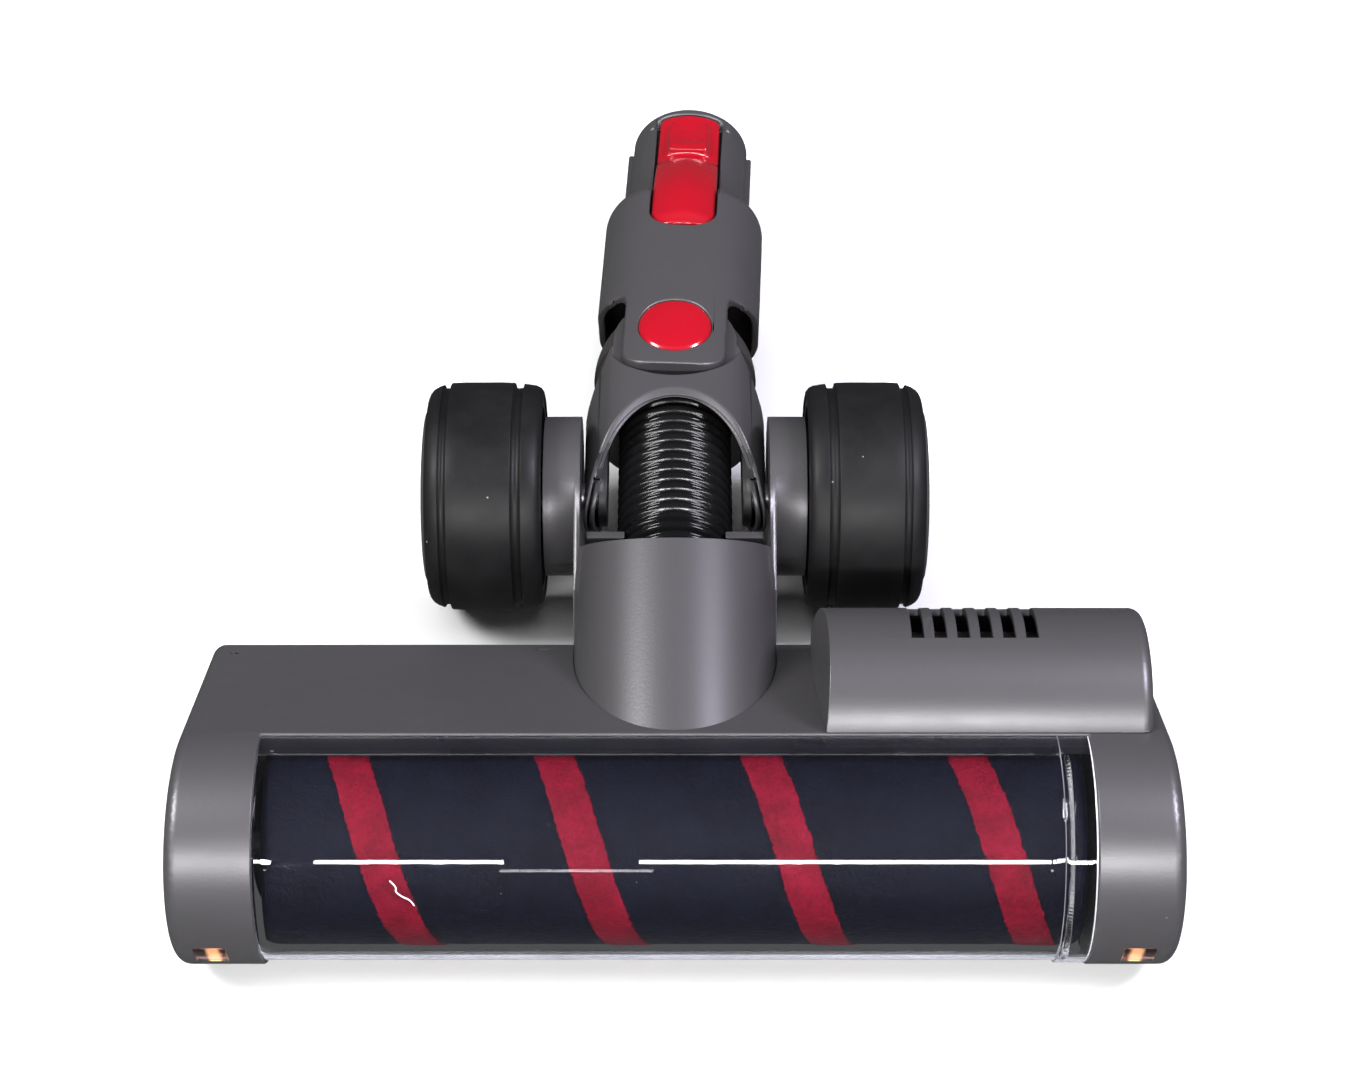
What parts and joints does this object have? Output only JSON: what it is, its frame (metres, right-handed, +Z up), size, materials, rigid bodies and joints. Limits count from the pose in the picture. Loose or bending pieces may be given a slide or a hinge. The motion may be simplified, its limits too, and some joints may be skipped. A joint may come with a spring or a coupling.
{
  "type": "vacuum floor brush head",
  "caption": "Powered soft-roller floor head for a stick vacuum: clear roller window, vented motor cover, rubber wheels and a tilting, swivelling neck with bellows hose and catch.",
  "frame": {"origin": "on the floor, under the middle of the head's bounding box", "axes": "+X to the head's right, +Y from the roller to the neck's mouth, +Z up"},
  "size_m": [0.2518, 0.2886, 0.0635],
  "materials": {
    "shell_grey": "satin gun-metal grey",
    "clear_cover": "clear polished",
    "sole_black": "matt black",
    "hose_black": "glossy black",
    "belt_rubber": "matt",
    "tyre_black": "matt",
    "felt": "felt",
    "plush_navy": "plush",
    "plush_red": "plush",
    "core_aluminium": "plain",
    "red_gloss": "glossy red",
    "lens_smoke": "translucent",
    "led_amber": "pale amber",
    "board_green": "solder mask",
    "motor_steel": "zinc plated",
    "pin_steel": "plain",
    "bush_brass": "plain"
  },
  "bodies": {
    "base": {"upper_shell": "shell_grey", "window": "clear_cover", "motor_cover": "shell_grey", "neck_housing": "shell_grey", "suction_duct": "sole_black", "hose_collar": "shell_grey", "hose": "hose_black", "sole_plate": "sole_black", "sole_screws": "pin_steel", "felt_strip": "felt", "drive_motor": "motor_steel", "drive_belt": "belt_rubber", "roller_bearing_left": "bush_brass", "roller_bearing_right": "bush_brass", "led_lens_left": "lens_smoke", "led_lens_right": "lens_smoke", "led_board_left": "board_green", "led_board_right": "board_green", "led_chips": "led_amber", "control_board": "board_green", "axle_pin_left": "pin_steel", "axle_pin_right": "pin_steel"},
    "roller": {"roller_core": "core_aluminium", "roller_pile": "plush_navy", "roller_stripe": "plush_red", "roller_end_left": "sole_black", "roller_end_right": "sole_black", "roller_pulley": "sole_black"},
    "motor_rotor": {"motor_shaft": "pin_steel", "motor_pulley": "sole_black"},
    "wheel_left": {"wheel_rim_left": "sole_black", "tyre_left": "tyre_black", "hub_cap_left": "shell_grey"},
    "wheel_right": {"wheel_rim_right": "sole_black", "tyre_right": "tyre_black", "hub_cap_right": "shell_grey"},
    "yoke": {"yoke": "shell_grey", "swivel_ball": "sole_black", "hose_cuff": "sole_black", "swivel_pins": "pin_steel"},
    "wand_tube": {"swivel_tube": "shell_grey", "pivot_cap": "red_gloss", "catch_pin": "pin_steel", "catch_spring": "pin_steel", "contact_block": "sole_black", "contact_pins": "bush_brass"},
    "catch": {"release_catch": "red_gloss"}
  },
  "joints": [
    {"name": "roller_spin", "type": "hinge", "parent": "base", "child": "roller", "pos_m": [0, -0.11327, 0.02655], "axis": [1, 0, 0], "continuous": true},
    {"name": "motor_spin", "type": "hinge", "parent": "base", "child": "motor_rotor", "pos_m": [0, -0.07027, 0.037], "axis": [1, 0, 0], "continuous": true},
    {"name": "wheel_left_spin", "type": "hinge", "parent": "base", "child": "wheel_left", "pos_m": [0, -0.00427, 0.0315], "axis": [1, 0, 0], "continuous": true},
    {"name": "wheel_right_spin", "type": "hinge", "parent": "base", "child": "wheel_right", "pos_m": [0, -0.00427, 0.0315], "axis": [1, 0, 0], "continuous": true},
    {"name": "neck_pitch", "type": "hinge", "parent": "base", "child": "yoke", "pos_m": [0, -0.00427, 0.0315], "axis": [1, 0, 0], "range_deg": [0, 92], "deforming": ["hose"]},
    {"name": "tube_swivel", "type": "hinge", "parent": "yoke", "child": "wand_tube", "pos_m": [0, 0.04009, 0.02791], "axis": [0, 0.0806, 0.9968], "range_deg": [-37.3, 42.7]},
    {"name": "catch_press", "type": "hinge", "parent": "wand_tube", "child": "catch", "pos_m": [0.00461, 0.13861, 0.0331], "axis": [0.9989, -0.047, 0.0038], "range_deg": [0, 4], "stiffness_Nm_per_rad": 0.6, "springref_deg": -3.44, "deforming": ["catch_spring"]}
  ],
  "couplings": [
    {"joint": "motor_spin", "follows": "roller_spin", "ratio": 2.3636}
  ]
}
